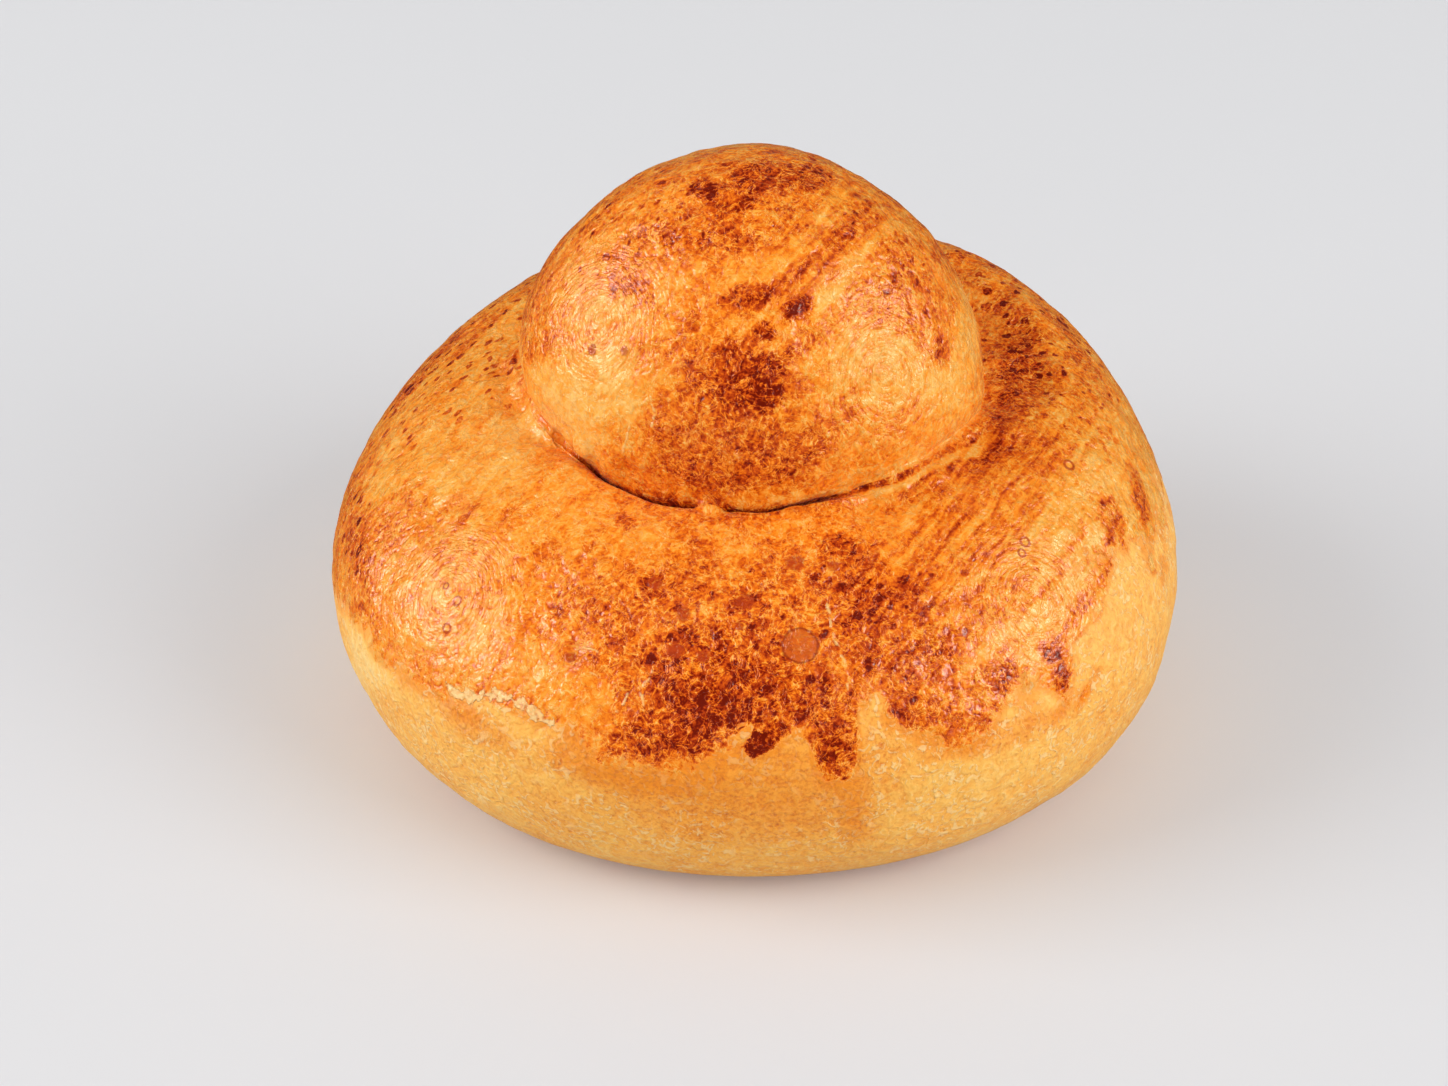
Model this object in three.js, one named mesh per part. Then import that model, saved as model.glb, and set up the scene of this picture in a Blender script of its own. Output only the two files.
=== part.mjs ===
// A Sicilian-style brioche: a soft round bun with a smaller ball of the same dough, the topknot, set in the
// middle of its top. The two balls bake into one piece. In front and on the left the knot hangs over the bun
// and leaves a narrow open crease; on the right and at the back the two skins have grown together into a
// shallow valley.
//
// Units are millimetres, with Z up. The origin is the middle of the sole, the flat face that lay on the tray.
// The front of the brioche faces -Y, and +X is to its right as it is looked at from the front.
//
// The whole skin is one sheet. A profile runs from the middle of the sole out to the belly, up over the
// shoulder, over the lip into the crease, and out again over the knot to its top. It is drawn afresh at every
// azimuth, because an uneven bun has no two profiles alike. Each size of the profile is therefore given at
// eight compass points and changes smoothly between them.

import * as THREE from "three";

// ---------------------------------------------------------------- driving dimensions

// Sizes at the eight compass points: front, front right, right, back right, back, back left, left, front left.

// The bun: how far its belly reaches from the middle, how high that widest ring lies, and the radius of the
// flat sole that it rests on.
const BELLY_RADIUS = [51.3, 52.4, 52.5, 51.8, 51.3, 51.8, 52.5, 52.4];
const BELLY_HEIGHT = [20, 19, 18, 19, 19.5, 19, 20, 20.5];
const SOLE_RADIUS = [37.5, 38.5, 39, 38, 37, 38, 38, 38.5];

// The crown is the circle that the bun's shoulder rises towards. In front it lies hidden inside the knot.
const CROWN_RADIUS = [17, 23, 30, 32.5, 28.5, 26, 19.5, 17];
const CROWN_HEIGHT = [43.5, 44, 46, 49, 49.5, 48.5, 45.5, 44.5];

// The knot: how far it reaches from its own axis, and how high its widest ring lies.
const KNOT_RADIUS = [25.5, 27, 28.5, 27, 26.5, 27, 28, 25.5];
const KNOT_HEIGHT = [48, 46.5, 45, 46, 47.5, 47, 48.5, 49];

// The crease between the two: how broadly the bun's lip rolls over into it, the height of that lip, how far
// the crease goes down below the lip, how far it tucks in under the knot, and how wide it is open at the lip.
const LIP_ROLL = [2.5, 4, 5, 5, 5, 4.5, 3.5, 2.5];
const LIP_HEIGHT = [42.5, 45.5, 45.5, 46.5, 46.5, 45.5, 46.5, 42.5];
const CREASE_DEPTH = [3, 1.6, 1.2, 1.5, 1.5, 1.6, 1.8, 2.6];
const CREASE_TUCK = [3.4, 1.8, 1.2, 1.5, 2, 2.2, 2.4, 3.4];
const CREASE_GAP = [0.4, 1.6, 3.5, 4, 3.5, 2.4, 1.4, 0.5];

const TOTAL_HEIGHT = 74.5;
const KNOT_AXIS = new THREE.Vector2(-0.6, -1);

// How square the arcs of the profile are: 2 is an ellipse, and more is squarer.
const BELLY_SQUARENESS = 2;
const SHOULDER_SQUARENESS = 1.9;
const KNOT_SQUARENESS = 1.83;
const ROUND = 2;

// Faces round the brioche, and rings along each stretch of the profile.
const AZIMUTH_STEPS = 96;
const RINGS = { sole: 3, belly: 7, shoulder: 14, lip: 5, wall: 3, underside: 5, dome: 15 };

const FRONT_AZIMUTH = -Math.PI / 2;

// ---------------------------------------------------------------- sizes round the brioche

// The smoothest wave round the circle that is 1 at azimuth 0 and 0 at the other compass points.
function compassWave(azimuth, count) {
  const half = Math.tan(azimuth / 2);
  if (Math.abs(half) < 1e-9) return 1;
  return Math.sin((count * azimuth) / 2) / (count * half);
}

// The size at any azimuth, from the sizes at the compass points.
function around(sizes, azimuth) {
  const step = (2 * Math.PI) / sizes.length;
  return sizes.reduce(
    (sum, size, i) => sum + size * compassWave(azimuth - FRONT_AZIMUTH - i * step, sizes.length),
    0,
  );
}

// ---------------------------------------------------------------- the profile

// A quarter of a superellipse, up to the share of a right angle given, as steps points after its start.
// It leaves the start at centre + first, and heads for centre + second.
function arc(centre, first, second, squareness, steps, share = 1) {
  return Array.from({ length: steps }, (_, i) => {
    const angle = ((i + 1) / steps) * share * (Math.PI / 2);
    const alongFirst = Math.max(Math.cos(angle), 0) ** (2 / squareness);
    const alongSecond = Math.sin(angle) ** (2 / squareness);
    return centre.clone().addScaledVector(first, alongFirst).addScaledVector(second, alongSecond);
  });
}

const at = (radius, height) => new THREE.Vector2(radius, height);

// The flat sole and the belly's lower half, from the middle of the sole to the widest ring.
function lowerBun(azimuth) {
  const sole = around(SOLE_RADIUS, azimuth);
  const belly = at(around(BELLY_RADIUS, azimuth), around(BELLY_HEIGHT, azimuth));
  const flat = Array.from({ length: RINGS.sole }, (_, i) => at((sole * (i + 1)) / RINGS.sole, 0));
  const rise = arc(at(sole, belly.y), at(0, -belly.y), at(belly.x - sole, 0), BELLY_SQUARENESS, RINGS.belly);
  return [...flat, ...rise];
}

// The shoulder, from the widest ring up to where its lip starts to roll over.
function shoulder(azimuth, lipRadius) {
  const belly = at(around(BELLY_RADIUS, azimuth), around(BELLY_HEIGHT, azimuth));
  const crown = at(around(CROWN_RADIUS, azimuth), around(CROWN_HEIGHT, azimuth));
  const reach = belly.x - crown.x;
  const end = Math.max(lipRadius + around(LIP_ROLL, azimuth) - crown.x, 0) / reach;
  const share = Math.acos(end ** (SHOULDER_SQUARENESS / 2)) / (Math.PI / 2);
  const rise = at(0, crown.y - belly.y);
  return arc(at(crown.x, belly.y), at(reach, 0), rise, SHOULDER_SQUARENESS, RINGS.shoulder, share);
}

// The knot's skin below its widest ring, as a function of height: it curves in under the knot.
function knotUnderside(azimuth) {
  const widest = at(around(KNOT_RADIUS, azimuth), around(KNOT_HEIGHT, azimuth));
  const tuck = around(CREASE_TUCK, azimuth);
  const bottom = at(widest.x - tuck, around(LIP_HEIGHT, azimuth) - around(CREASE_DEPTH, azimuth));
  const radiusAt = (height) => {
    const down = THREE.MathUtils.clamp((widest.y - height) / (widest.y - bottom.y), 0, 1);
    return bottom.x + tuck * Math.sqrt(1 - down * down);
  };
  return { widest, bottom, tuck, radiusAt };
}

// The whole profile at one azimuth. Each point has the share of the way from the bun's axis to the knot's by
// which it is shifted.
function profile(azimuth) {
  const { widest, bottom, tuck, radiusAt } = knotUnderside(azimuth);
  const lip = at(0, around(LIP_HEIGHT, azimuth));
  const gap = around(CREASE_GAP, azimuth);
  lip.x = radiusAt(lip.y) + gap;

  const bun = [...lowerBun(azimuth), ...shoulder(azimuth, lip.x)];
  const brow = bun[bun.length - 1];
  const roll = arc(at(brow.x, lip.y), at(0, brow.y - lip.y), at(lip.x - brow.x, 0), ROUND, RINGS.lip);
  const wall = Array.from({ length: RINGS.wall }, (_, i) => {
    const down = (i + 1) / RINGS.wall;
    const height = THREE.MathUtils.lerp(lip.y, bottom.y, down);
    return at(radiusAt(height) + gap * (1 - down), height);
  });
  const fall = at(0, bottom.y - widest.y);
  const underside = arc(at(bottom.x, widest.y), fall, at(tuck, 0), ROUND, RINGS.underside);
  const rise = at(0, TOTAL_HEIGHT - widest.y);
  const dome = arc(at(0, widest.y), at(widest.x, 0), rise, KNOT_SQUARENESS, RINGS.dome).slice(0, -1);

  return [
    ...bun.map((point) => ({ point, share: 0 })),
    ...roll.map((point, i) => ({ point, share: (i + 1) / RINGS.lip })),
    ...[...wall, ...underside, ...dome].map((point) => ({ point, share: 1 })),
  ];
}

// ---------------------------------------------------------------- the skin

// One closed skin: the profiles side by side, with the middle of the sole and the knot's top as its poles.
function brioche() {
  const rings = profile(0).length;
  const position = [0, 0, 0];
  for (let j = 0; j < AZIMUTH_STEPS; j++) {
    const azimuth = (j / AZIMUTH_STEPS) * 2 * Math.PI;
    for (const { point, share } of profile(azimuth)) {
      const x = share * KNOT_AXIS.x + point.x * Math.cos(azimuth);
      const y = share * KNOT_AXIS.y + point.x * Math.sin(azimuth);
      position.push(x, y, point.y);
    }
  }
  position.push(KNOT_AXIS.x, KNOT_AXIS.y, TOTAL_HEIGHT);

  const top = position.length / 3 - 1;
  const vertex = (j, i) => 1 + (j % AZIMUTH_STEPS) * rings + i;
  const index = [];
  for (let j = 0; j < AZIMUTH_STEPS; j++) {
    index.push(0, vertex(j + 1, 0), vertex(j, 0));
    for (let i = 0; i + 1 < rings; i++) {
      index.push(vertex(j, i), vertex(j + 1, i), vertex(j + 1, i + 1));
      index.push(vertex(j, i), vertex(j + 1, i + 1), vertex(j, i + 1));
    }
    index.push(vertex(j, rings - 1), vertex(j + 1, rings - 1), top);
  }

  const geometry = new THREE.BufferGeometry();
  geometry.setAttribute("position", new THREE.Float32BufferAttribute(position, 3));
  geometry.setIndex(index);
  geometry.computeVertexNormals();
  return geometry;
}

const crust = new THREE.MeshStandardMaterial({ color: 0xd98a3a, roughness: 0.45, metalness: 0 });
const mesh = new THREE.Mesh(brioche(), crust);
mesh.name = "brioche";

const group = new THREE.Group();
group.add(mesh);
export default group;
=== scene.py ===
"""A Sicilian-style brioche with its topknot, under soft studio light.

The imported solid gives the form. A finer skin is laid over it: the solid's own rings and meridians, subdivided,
with the dough's swells, folds and blisters moved into it. Where the egg wash and the browning lie is painted on
the skin as point attributes, in strokes placed by the photograph's pixels in front and by azimuth and height
behind, and one procedural crust material reads them.

Lengths are in metres, unless a name ends in _MM. The front of the brioche faces -Y.
"""

import math

import bpy
import numpy as np
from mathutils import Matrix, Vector, noise
from mathutils.bvhtree import BVHTree


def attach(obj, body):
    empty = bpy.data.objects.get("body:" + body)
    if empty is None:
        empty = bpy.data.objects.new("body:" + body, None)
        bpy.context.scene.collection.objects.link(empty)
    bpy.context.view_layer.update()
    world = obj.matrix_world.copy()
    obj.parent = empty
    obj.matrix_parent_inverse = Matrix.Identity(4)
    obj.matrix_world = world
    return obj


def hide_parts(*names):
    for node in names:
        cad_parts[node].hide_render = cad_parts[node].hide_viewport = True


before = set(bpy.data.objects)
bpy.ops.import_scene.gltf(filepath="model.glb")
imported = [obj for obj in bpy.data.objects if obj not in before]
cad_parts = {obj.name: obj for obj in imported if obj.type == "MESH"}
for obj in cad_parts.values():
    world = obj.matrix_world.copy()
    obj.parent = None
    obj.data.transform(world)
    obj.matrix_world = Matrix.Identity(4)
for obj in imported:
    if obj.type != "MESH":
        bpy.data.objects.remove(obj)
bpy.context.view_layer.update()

MM = 0.001

# ---------------- the photograph's view

PHOTO_WIDTH, PHOTO_HEIGHT = 1448, 1086
LENS_MM, SENSOR_MM = 100, 36
VIEW_ELEVATION = math.radians(33)
VIEW_DISTANCE = 0.501
VIEW_AIM = Vector((-0.0038, 0, 0.0209))

VIEW_BACK = Vector((0, -math.cos(VIEW_ELEVATION), math.sin(VIEW_ELEVATION)))
VIEW_RIGHT = Vector((1, 0, 0))
VIEW_UP = VIEW_BACK.cross(VIEW_RIGHT)
EYE = VIEW_AIM + VIEW_BACK * VIEW_DISTANCE

# What one pixel of the photograph spans on the brioche, and the most that it counts for where the skin turns away.
PIXEL_MM = 0.124
STEEPEST_PIXEL_MM = 0.286
NEAR_PIXELS = 6.0  # how far from a stroke's middle its axes are measured


def pixel_direction(x, y):
    """The way from the eye through a pixel of the photograph."""
    scale = SENSOR_MM / LENS_MM / PHOTO_WIDTH
    sideways = (x - PHOTO_WIDTH / 2) * scale
    upwards = (PHOTO_HEIGHT / 2 - y) * scale
    return (VIEW_RIGHT * sideways + VIEW_UP * upwards - VIEW_BACK).normalized()


def add_camera():
    """The camera, in the photograph's view."""
    data = bpy.data.cameras.new("camera")
    data.lens = LENS_MM
    data.sensor_width = SENSOR_MM
    camera = bpy.data.objects.new("camera", data)
    camera.location = EYE
    camera.rotation_euler = VIEW_BACK.to_track_quat("Z", "Y").to_euler()
    bpy.context.scene.collection.objects.link(camera)
    bpy.context.scene.camera = camera


# ---------------- the studio


TENT_COLOUR = (0.98, 0.99, 1.0, 1)
TENT_BRIGHTNESS = 0.52

# The softboxes: azimuth in degrees, 0 in front and positive to the right, elevation, size, power, and whether it is
# mirrored. One that is mirrored only shows as a gloss on the crust, and the others only light it.
SOFTBOXES = {
    "fill_left": (-80, 28, 1.1, 15, False),
    "fill_right": (60, 30, 1.1, 14, False),
    "gloss_left": (-91, 22, 0.78, 34, True),
    "gloss_right": (78, 24, 0.78, 29, True),
}
SOFTBOX_DISTANCE = 1.5
SOFTBOX_AIM = Vector((0, 0, 0.035))
FILL_COLOUR = (1, 0.995, 0.985)
GLOSS_COLOUR = (1, 0.93, 0.82)

FLOOR_SIZE = 6
FLOOR_COLOUR = (0.63, 0.63, 0.645, 1)
FLOOR_GLOW_COLOUR = (0.97, 0.98, 1.0, 1)
FLOOR_GLOW = 0.10


def add_softbox(name, azimuth, elevation, size, power, mirrored):
    """A square soft light that looks at the brioche."""
    turn, rise = math.radians(azimuth), math.radians(elevation)
    way = Vector((math.sin(turn) * math.cos(rise), -math.cos(turn) * math.cos(rise), math.sin(rise)))
    data = bpy.data.lights.new(name, "AREA")
    data.shape = "RECTANGLE"
    data.size = data.size_y = size
    data.energy = power
    data.color = GLOSS_COLOUR if mirrored else FILL_COLOUR
    light = bpy.data.objects.new(name, data)
    light.visible_glossy = mirrored
    light.visible_diffuse = not mirrored
    light.location = SOFTBOX_AIM + way * SOFTBOX_DISTANCE
    light.rotation_euler = way.to_track_quat("Z", "Y").to_euler()
    bpy.context.scene.collection.objects.link(light)


def add_studio():
    """The tent of even light, the softboxes and the floor."""
    world = bpy.data.worlds.new("studio")
    bpy.context.scene.world = world
    world.use_nodes = True
    background = world.node_tree.nodes["Background"]
    background.inputs["Color"].default_value = TENT_COLOUR
    background.inputs["Strength"].default_value = TENT_BRIGHTNESS
    world.cycles_visibility.glossy = False

    for name, settings in SOFTBOXES.items():
        add_softbox(name, *settings)

    bpy.ops.mesh.primitive_plane_add(size=FLOOR_SIZE)
    floor = bpy.context.object
    floor.name = "floor"
    floor.visible_glossy = False
    material = bpy.data.materials.new("floor")
    material.use_nodes = True
    surface = material.node_tree.nodes["Principled BSDF"]
    surface.inputs["Base Color"].default_value = FLOOR_COLOUR
    surface.inputs["Emission Color"].default_value = FLOOR_GLOW_COLOUR
    surface.inputs["Emission Strength"].default_value = FLOOR_GLOW
    surface.inputs["Roughness"].default_value = 0.9
    surface.inputs["Specular IOR Level"].default_value = 0.2
    floor.data.materials.append(material)

    scene = bpy.context.scene
    scene.view_settings.view_transform = "Standard"
    scene.view_settings.look = "None"


# ---------------- the skin's mesh

SUBDIVISIONS = 2

# The solid's rings, counted from the top of the knot down to the middle of the sole. The knot is widest at ring 15,
# the bun's lip lies at 23 and its belly at 42, and the sole begins at 49.
CREASE_RING = 20
BROW_RING = 28

# Points of the solid that agree to this many decimals are one.
SAME_PLACE_DECIMALS = 7

# How far the two skins have grown together across the crease, by azimuth in degrees, 0 in front and positive to
# the right: 0 leaves it as deep as the solid's, and 1 bridges it.
HEALED_CREASE = [(-180, 0.3), (-120, 0.6), (-88, 0.8), (-68, 0.5), (-57, 0.2), (-46, 0), (0, 0), (10, 0.1),
                 (24, 0.55), (38, 0.92), (115, 0.95), (145, 0.6), (180, 0.3)]
HEALED_FROM, HEALED_TO = 17, 25  # the rings where the bridge starts and ends


def solid_grid(node):
    """The solid's points put back in order: its two poles, and its rings of points from the knot to the sole."""
    mesh = node.data
    points = np.zeros(len(mesh.vertices) * 3)
    mesh.vertices.foreach_get("co", points)
    places, merged = np.unique(np.round(points.reshape(-1, 3), SAME_PLACE_DECIMALS), axis=0, return_inverse=True)
    merged = merged.ravel()
    neighbours = [set() for _ in places]
    for polygon in mesh.polygons:
        corners = {int(merged[v]) for v in polygon.vertices}
        for corner in corners:
            neighbours[corner] |= corners
    top = int(np.argmax(places[:, 2]))
    rings, reached = [[top]], {top}
    while rings[-1]:
        edge = set().union(*(neighbours[v] for v in rings[-1])) - reached
        reached |= edge
        rings.append(sorted(edge))
    rings.pop()
    ordered = []
    for ring in rings[1:-1]:
        place = places[ring]
        middle = place.mean(0)
        place = place[np.argsort(np.arctan2(place[:, 1] - middle[1], place[:, 0] - middle[0]))]
        if ordered:
            shifts = (-2, -1, 0, 1, 2)
            misfits = [((np.roll(place, k, 0) - ordered[-1]) ** 2).sum() for k in shifts]
            place = np.roll(place, shifts[int(np.argmin(misfits))], 0)
        ordered.append(place)
    return places[top], np.array(ordered), places[rings[-1][0]]


def heal_crease(rings):
    """Draws the rings of the crease towards the straight bridge between the knot's skin and the bun's."""
    crease = rings[CREASE_RING - 1] - rings[CREASE_RING - 1].mean(0)
    azimuth = np.degrees(np.arctan2(crease[:, 0], -crease[:, 1]))
    healed = np.interp(azimuth, *zip(*HEALED_CREASE))[:, None]
    start, end = rings[HEALED_FROM - 1].copy(), rings[HEALED_TO - 1].copy()
    for i in range(HEALED_FROM + 1, HEALED_TO):
        bridge = start + (end - start) * (i - HEALED_FROM) / (HEALED_TO - HEALED_FROM)
        rings[i - 1] += (bridge - rings[i - 1]) * healed


def skin_object():
    """The skin as quads over the solid's grid, subdivided, with each point's ring as a float attribute."""
    top, rings, sole = solid_grid(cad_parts["brioche"])
    heal_crease(rings)
    count, around = rings.shape[:2]
    points = [top, *rings.reshape(-1, 3), sole]
    last = len(points) - 1
    faces = []
    for j in range(around):
        k = (j + 1) % around
        faces.append((0, 1 + j, 1 + k))
        for i in range(count - 1):
            here, below = 1 + i * around, 1 + (i + 1) * around
            faces.append((here + j, below + j, below + k, here + k))
        faces.append((1 + (count - 1) * around + j, last, 1 + (count - 1) * around + k))
    mesh = bpy.data.meshes.new("brioche_skin")
    mesh.from_pydata([tuple(p) for p in points], [], faces)
    ring_of = np.concatenate([[0], np.repeat(np.arange(1, count + 1), around), [count + 1]])
    attribute = mesh.attributes.new("ring", "FLOAT", "POINT")
    attribute.data.foreach_set("value", ring_of.astype(np.float32))
    skin = bpy.data.objects.new("brioche_skin", mesh)
    bpy.context.scene.collection.objects.link(skin)
    subdivide = skin.modifiers.new("subdivide", "SUBSURF")
    subdivide.levels = subdivide.render_levels = SUBDIVISIONS
    fine = bpy.data.meshes.new_from_object(skin.evaluated_get(bpy.context.evaluated_depsgraph_get()))
    skin.modifiers.clear()
    skin.data = fine
    skin.data.name = "brioche_skin"
    fine.polygons.foreach_set("use_smooth", [True] * len(fine.polygons))
    return skin


def read(mesh, name, width=1):
    """A point attribute, or the places or normals, as an array."""
    values = np.zeros(len(mesh.vertices) * width, np.float32)
    if name == "co":
        mesh.vertices.foreach_get("co", values)
    elif name == "normal":
        mesh.vertex_normals.foreach_get("vector", values)
    else:
        mesh.attributes[name].data.foreach_get("value", values)
    return values.reshape(-1, width).astype(float) if width > 1 else values.astype(float)


def write(mesh, name, values):
    """Stores an array as a point attribute."""
    attribute = mesh.attributes.get(name) or mesh.attributes.new(name, "FLOAT", "POINT")
    attribute.data.foreach_set("value", values.astype(np.float32))


def smooth(low, high, x):
    """0 below low, 1 above high, and an even slope between. low may be the greater."""
    t = np.clip((x - low) / (high - low), 0, 1)
    return t * t * (3 - 2 * t)


def band(x, low, rising, falling, high):
    """1 from rising to falling, 0 below low and above high, and even slopes between."""
    return smooth(low, rising, x) * smooth(high, falling, x)


def cloud(points, size_mm, octaves, offset, stretch=None):
    """Noise between about -1 and 1, in lumps of this size. stretch is (direction, times) for drawn-out lumps."""
    scaled = points / (size_mm * MM)
    if stretch is not None:
        direction, times = np.array(stretch[0]), stretch[1]
        scaled = scaled - np.outer(scaled @ direction, direction) * (1 - 1 / times)
    scaled = scaled + offset
    return np.array([noise.fractal(p, 1.0, 2.0, octaves) for p in scaled])


# ---------------- places on the skin


# How far outside the brioche a ray from the side starts, and how far off the skin an ellipse on it reaches, in its
# mean half axis.
RAY_START = 0.2
ELLIPSE_THICKNESS = 1.5


class Skin:
    """The skin's points as arrays, and where a ray meets it."""

    def __init__(self, mesh):
        self.mesh = mesh
        self.refresh()

    def refresh(self):
        self.co = read(self.mesh, "co", 3)
        self.normal = read(self.mesh, "normal", 3)
        self.ring = read(self.mesh, "ring")
        self.azimuth = np.degrees(np.arctan2(self.co[:, 0], -self.co[:, 1]))
        self.height = self.co[:, 2] / MM
        polygons = [tuple(p.vertices) for p in self.mesh.polygons]
        self.tree = BVHTree.FromPolygons([tuple(p) for p in self.co], polygons)

    def by_azimuth(self, table):
        """A value for each point, from a table of azimuths in degrees and values."""
        return np.interp(self.azimuth, *zip(*table))

    def at_pixel(self, x, y):
        """The place that shows at a pixel of the photograph, or None beside the brioche."""
        place = self.tree.ray_cast(EYE, pixel_direction(x, y))[0]
        return None if place is None else np.array(place)

    def at_pixels(self, line):
        return [self.at_pixel(x, y) for x, y in line]

    def at_side(self, azimuth, height):
        """The place met from outside at an azimuth in degrees, 0 in front and 90 on the right, and a height in mm."""
        turn = math.radians(azimuth)
        way = Vector((math.sin(turn), -math.cos(turn), 0))
        start = way * RAY_START + Vector((0, 0, height * MM))
        return np.array(self.tree.ray_cast(start, -way)[0])

    def normal_at(self, place):
        return np.array(self.tree.find_nearest(Vector(place))[1])

    def distance(self, place, along, across):
        """How far each point lies from a place, where 1 is the rim of the ellipse with these two half axes."""
        offset = self.co - place
        up = np.cross(along, across)
        up = up / np.linalg.norm(up)
        reach = math.sqrt(np.linalg.norm(along) * np.linalg.norm(across))
        to_ellipse = np.linalg.pinv(np.stack([along, across, up * reach * ELLIPSE_THICKNESS], 1))
        return np.linalg.norm(offset @ to_ellipse.T, axis=1)

    def stroke_at_pixel(self, x, y, half_length, half_width, angle):
        """The ellipse on the skin that shows at a pixel with these half axes in pixels. Angle 0 lies level, and
        it turns up to the right."""
        middle = self.at_pixel(x, y)
        if middle is None:
            raise ValueError(f"no skin at pixel {x}, {y}")
        turn = math.radians(angle)
        axes = []
        for dx, dy, half in (
            (math.cos(turn), -math.sin(turn), half_length),
            (math.sin(turn), math.cos(turn), half_width),
        ):
            ends = [self.at_pixel(x + side * dx * NEAR_PIXELS, y + side * dy * NEAR_PIXELS) for side in (1, -1)]
            ends = [middle if end is None else end for end in ends]
            spread = 2 if (ends[0] is not middle and ends[1] is not middle) else 1
            axis = (ends[0] - ends[1]) / spread * (half / NEAR_PIXELS)
            longest = half * STEEPEST_PIXEL_MM * MM
            length = np.linalg.norm(axis)
            axes.append(axis if length < longest else axis * longest / length)
        return self.distance(middle, *axes)

    def stroke_at_side(self, azimuth, height, half_length, half_width, angle):
        """The same for a place given by azimuth and height, with half axes in millimetres. Angle 0 runs level."""
        middle = self.at_side(azimuth, height)
        up = self.normal_at(middle)
        level = np.cross([0, 0, 1], up)
        level = level / np.linalg.norm(level)
        steep = np.cross(up, level)
        turn = math.radians(angle)
        along = (level * math.cos(turn) + steep * math.sin(turn)) * half_length * MM
        across = (steep * math.cos(turn) - level * math.sin(turn)) * half_width * MM
        return self.distance(middle, along, across)


# ---------------- relief


# The dough's unevenness: the lumps' size in mm, octaves, offset in the noise, and height in mm.
SWELLS = (26, 2, 3.1, 0.36)
UNEVENNESS = (9, 2, 11.7, 0.22)
GRAIN = (2.4, 3, 23.9, 0.12)

# Lumps and hollows of their own: x and y in pixels, radius and height in mm.
LUMPS = [
    (711, 507, 1.7, 1.1),  # the small nub of dough that is caught in the crease
    (585, 447, 1.9, 0.8),  # the flap where the crease jogs on the left
    (562, 440, 1.5, -0.5),
    (640, 470, 5.0, -0.35),  # the hollow beside the crease
    (572, 652, 1.5, -0.55),  # a collapsed blister and its rim
    (583, 668, 1.6, 0.35), (596, 655, 1.3, 0.3), (800, 645, 2.1, 0.22), (455, 575, 9.0, 0.35), (560, 610, 7.0, -0.35),
    (870, 500, 1.5, -0.35), (845, 492, 1.2, 0.35), (790, 500, 1.4, 0.3),
]

# How far the bun's skin dips towards the crease, and how far its lip closes in on the knot, in mm, by azimuth in
# degrees. The rings say where each begins, is full, is full no longer, and ends.
CREASE_DIP = [(-180, 0), (-110, 0.2), (-80, 0.8), (-58, 1.3), (-35, 1.3), (-14, 0.8), (2, 0.3), (30, 0.4), (60, 0.5),
              (120, 0.2), (180, 0)]
DIP_RINGS = (19, 22, 24, 32)
CREASE_PINCH = [(-180, 0), (-100, 0), (-78, 0.7), (-58, 0.9), (-40, 0.5), (-20, 0), (180, 0)]
PINCH_RINGS = (20.5, 23, 26, 32)

# How far the crease wanders, in what lumps, and the offsets in the noise of its three directions.
WANDER_MM = 1.1
WANDER_SIZE_MM = 9
WANDER_OFFSETS = (141.0, 152.0, 163.0)
WANDER_RINGS = (12, 17, 26, 31)


def move_points(skin, move_mm):
    """Moves each point by a vector in millimetres, but none below the sole."""
    places = skin.co + move_mm * MM
    places[:, 2] = np.maximum(places[:, 2], 0)
    skin.mesh.vertices.foreach_set("co", places.astype(np.float32).ravel())
    skin.mesh.update()
    skin.refresh()


def dip_at_crease(skin):
    """Lowers the bun's skin beside the crease into a shallow trough."""
    depth = skin.by_azimuth(CREASE_DIP) * band(skin.ring, *DIP_RINGS)
    move_points(skin, np.outer(depth, (0, 0, -1)))


def pinch_crease(skin):
    """Draws the bun's lip in towards the knot, so that the crease is a thin line."""
    reach = skin.by_azimuth(CREASE_PINCH) * band(skin.ring, *PINCH_RINGS)
    inwards = -skin.co * (1, 1, 0)
    inwards /= np.maximum(np.linalg.norm(inwards, axis=1), MM)[:, None]
    move_points(skin, inwards * reach[:, None])


def bend_crease(skin):
    """Lets the crease wander: the skin on both its sides shifts together, sideways and up or down."""
    sideways = np.stack([cloud(skin.co, WANDER_SIZE_MM, 2, offset) for offset in WANDER_OFFSETS], 1)
    move_points(skin, sideways * (band(skin.ring, *WANDER_RINGS) * WANDER_MM)[:, None])


def add_relief(skin):
    """Moves the skin along its normals: broad swells, the dough's unevenness and small lumps."""
    clear_of_sole = smooth(0.5, 7, skin.height)
    from_crease = np.abs(skin.ring - CREASE_RING)
    swells, uneven, grain = (cloud(skin.co, *rest) * height for *rest, height in (SWELLS, UNEVENNESS, GRAIN))
    move = (swells + uneven) * smooth(1.0, 9, from_crease) + grain * smooth(0, 3, from_crease)
    for x, y, radius, height in LUMPS:
        away = np.linalg.norm(skin.co - skin.at_pixel(x, y), axis=1) / (radius * MM)
        move = move + height * smooth(1.25, 0.35, away)
    move_points(skin, skin.normal * (move * clear_of_sole)[:, None])
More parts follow.
